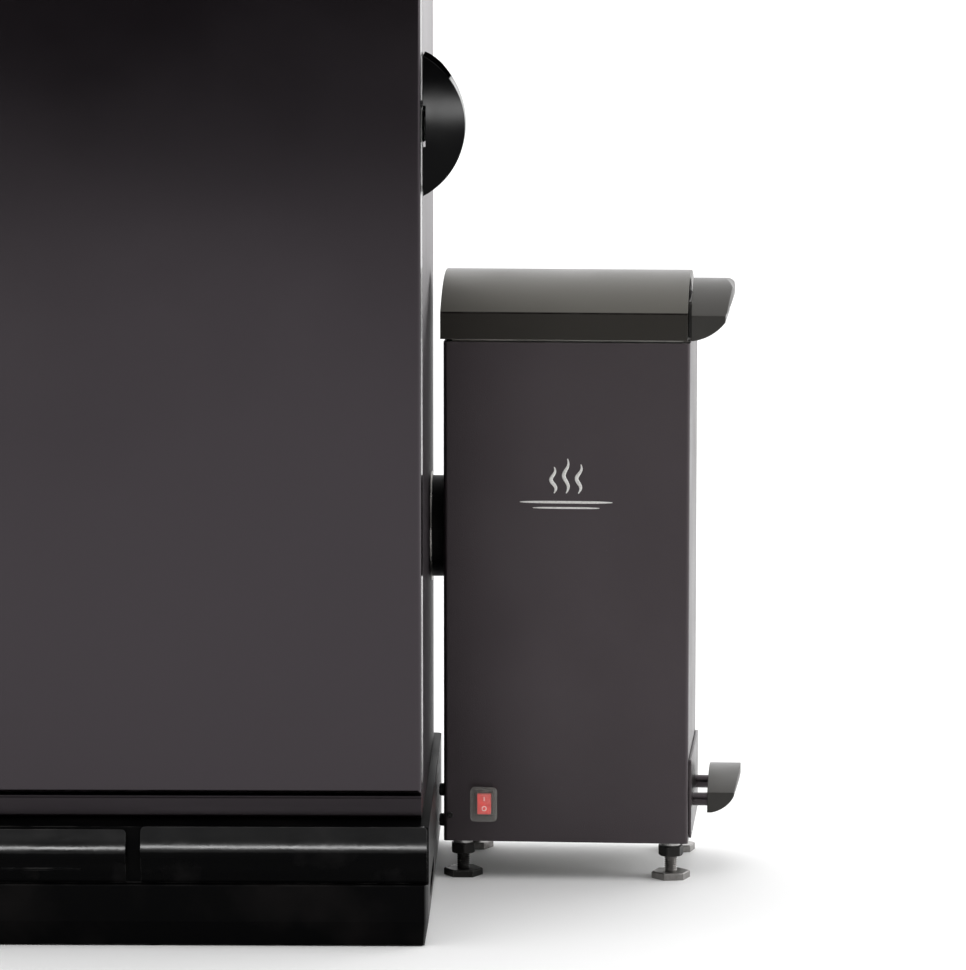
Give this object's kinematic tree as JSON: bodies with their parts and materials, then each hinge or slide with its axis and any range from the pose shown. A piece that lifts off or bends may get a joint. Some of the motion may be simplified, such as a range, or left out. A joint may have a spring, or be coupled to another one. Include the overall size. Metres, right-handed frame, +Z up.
{
  "type": "electric cabinet smoker",
  "caption": "Upright insulated electric smoker cabinet with a hinged door and front trays, joined by a round duct to a narrow side smoke box with an arched lid, ash drawer and levelling feet.",
  "frame": {"origin": "bottom centre of the whole object's box, on the floor", "axes": "+X to the right, +Y to the back, +Z up; the door faces -Y and the smoke box is on the +X side"},
  "size_m": [0.7562, 0.4156, 0.838],
  "materials": {
    "cabinet_paint": "satin powder coat",
    "base_plastic": "moulded plastic",
    "tray_plastic": "semi-gloss moulded plastic",
    "stainless": "brushed stainless steel",
    "chrome_wire": "chrome plated wire",
    "wool": "mineral wool",
    "zinc": "zinc plated steel",
    "console_plastic": "textured plastic",
    "panel": "gloss overlay",
    "lens": "tinted window",
    "button": "grey plastic",
    "seal": "fibre and silicone seal",
    "enamel": "black enamel",
    "element": "heat-tinted steel sheath",
    "rubber": "black rubber",
    "latch_plastic": "gloss black plastic",
    "box_paint": "fine-grained powder coat",
    "handle_plastic": "satin moulded plastic",
    "switch_black": "nylon",
    "switch_red": "red translucent plastic",
    "boot": "clear silicone cover",
    "foot_black": "black oxide steel and rubber",
    "foot_steel": "zinc plated steel"
  },
  "bodies": {
    "cabinet": {"base_housing": "base_plastic", "base_feet": "rubber", "outer_shell": "cabinet_paint", "inner_liner": "stainless", "wall_insulation": "wool", "front_frame": "cabinet_paint", "port_sleeve": "stainless", "rear_cover": "cabinet_paint", "top_cover": "cabinet_paint", "control_housing": "console_plastic", "control_panel": "panel", "display_lens": "lens", "vent_stack": "stainless", "rack_supports": "stainless", "drip_pan": "stainless", "water_bowl": "enamel", "chip_tray": "enamel", "heating_element": "element", "body_hinge_leaves": "cabinet_paint", "hinge_pins": "zinc", "latch_base": "zinc", "cabinet_screws": "zinc", "rack_1": "chrome_wire", "rack_2": "chrome_wire", "rack_3": "chrome_wire"},
    "door": {"door_skin": "cabinet_paint", "door_liner": "stainless", "door_insulation": "wool", "door_seal": "seal", "door_hinge_leaves": "cabinet_paint", "latch_keeper": "zinc", "door_screws": "zinc"},
    "latch": {"latch_lever": "latch_plastic"},
    "hook": {"latch_hook": "zinc"},
    "grease_drawer": {"grease_tray": "tray_plastic"},
    "base_drawer": {"ash_tray": "tray_plastic"},
    "damper": {"damper_cap": "zinc"},
    "power": {"power_button": "button"},
    "temperature": {"temperature_button": "button"},
    "timer": {"timer_button": "button"},
    "smoke_box": {"smoke_housing": "box_paint", "smoke_floor": "zinc", "smoke_collar": "stainless", "smoke_element": "element", "chip_hopper": "stainless", "smoke_spigot": "stainless", "side_bumpers": "rubber", "lid_hinge": "zinc", "smoke_box_fasteners": "zinc", "switch_body": "switch_black", "switch_boot": "boot"},
    "lid": {"smoke_lid": "box_paint", "lid_handle": "handle_plastic"},
    "box_drawer": {"ash_drawer": "box_paint", "drawer_handle": "handle_plastic"},
    "rocker": {"switch_rocker": "switch_red"},
    "foot_1": {"foot_front_left": "foot_black"},
    "foot_2": {"foot_front_right": "foot_steel"},
    "foot_3": {"foot_back_left": "foot_steel"},
    "foot_4": {"foot_back_right": "foot_steel"}
  },
  "joints": [
    {"name": "door_hinge", "type": "hinge", "parent": "cabinet", "child": "door", "pos_m": [-0.37363, -0.12841, 0.184], "axis": [0, 0, -1], "range_deg": [0, 115]},
    {"name": "latch_lever", "type": "hinge", "parent": "cabinet", "child": "latch", "pos_m": [0.14067, -0.09616, 0.6035], "axis": [0, 0, 1], "range_deg": [0, 70]},
    {"name": "latch_hook", "type": "hinge", "parent": "latch", "child": "hook", "pos_m": [0.14467, -0.12316, 0.6035], "axis": [0, 0, 1], "range_deg": [-70, 0]},
    {"name": "grease_tray_slide", "type": "slide", "parent": "cabinet", "child": "grease_drawer", "axis": [0, -1, 0], "range_m": [0, 0.25]},
    {"name": "base_tray_slide", "type": "slide", "parent": "cabinet", "child": "base_drawer", "axis": [0, -1, 0], "range_m": [0, 0.25]},
    {"name": "vent_damper", "type": "hinge", "parent": "cabinet", "child": "damper", "pos_m": [0.04187, 0.09784, 0.8033], "axis": [0, 0, 1], "range_deg": [0, 60]},
    {"name": "power_press", "type": "slide", "parent": "cabinet", "child": "power", "axis": [0, 0.3011, -0.9536], "range_m": [0, 0.0015], "stiffness_N_per_m": 600, "springref_m": -0.0005},
    {"name": "temperature_press", "type": "slide", "parent": "cabinet", "child": "temperature", "axis": [0, 0.3011, -0.9536], "range_m": [0, 0.0015], "stiffness_N_per_m": 600, "springref_m": -0.0005},
    {"name": "timer_press", "type": "slide", "parent": "cabinet", "child": "timer", "axis": [0, 0.3011, -0.9536], "range_m": [0, 0.0015], "stiffness_N_per_m": 600, "springref_m": -0.0005},
    {"name": "smoke_box_slide", "type": "slide", "parent": "cabinet", "child": "smoke_box", "axis": [1, 0, 0], "range_m": [0, 0.06]},
    {"name": "lid_hinge", "type": "hinge", "parent": "smoke_box", "child": "lid", "pos_m": [0.24808, 0.19621, 0.4245], "axis": [-0.9981, 0.061, 0], "range_deg": [0, 95]},
    {"name": "box_drawer_slide", "type": "slide", "parent": "smoke_box", "child": "box_drawer", "axis": [0.9981, -0.061, 0], "range_m": [0, 0.11]},
    {"name": "power_rocker", "type": "hinge", "parent": "smoke_box", "child": "rocker", "pos_m": [0.17511, 0.04738, 0.0609], "axis": [0.9981, -0.061, 0], "range_deg": [-10, 0]},
    {"name": "foot_front_left_turn", "type": "hinge", "parent": "smoke_box", "child": "foot_1", "pos_m": [0.15821, 0.06595, 0.0055], "axis": [0, 0, 1], "continuous": true},
    {"name": "foot_front_right_turn", "type": "hinge", "parent": "smoke_box", "child": "foot_2", "pos_m": [0.3214, 0.05597, 0.0055], "axis": [0, 0, 1], "continuous": true},
    {"name": "foot_back_left_turn", "type": "hinge", "parent": "smoke_box", "child": "foot_3", "pos_m": [0.16504, 0.17774, 0.0055], "axis": [0, 0, 1], "continuous": true},
    {"name": "foot_back_right_turn", "type": "hinge", "parent": "smoke_box", "child": "foot_4", "pos_m": [0.32824, 0.16776, 0.0055], "axis": [0, 0, 1], "continuous": true}
  ],
  "couplings": [
    {"joint": "latch_hook", "follows": "latch_lever", "ratio": -1}
  ]
}
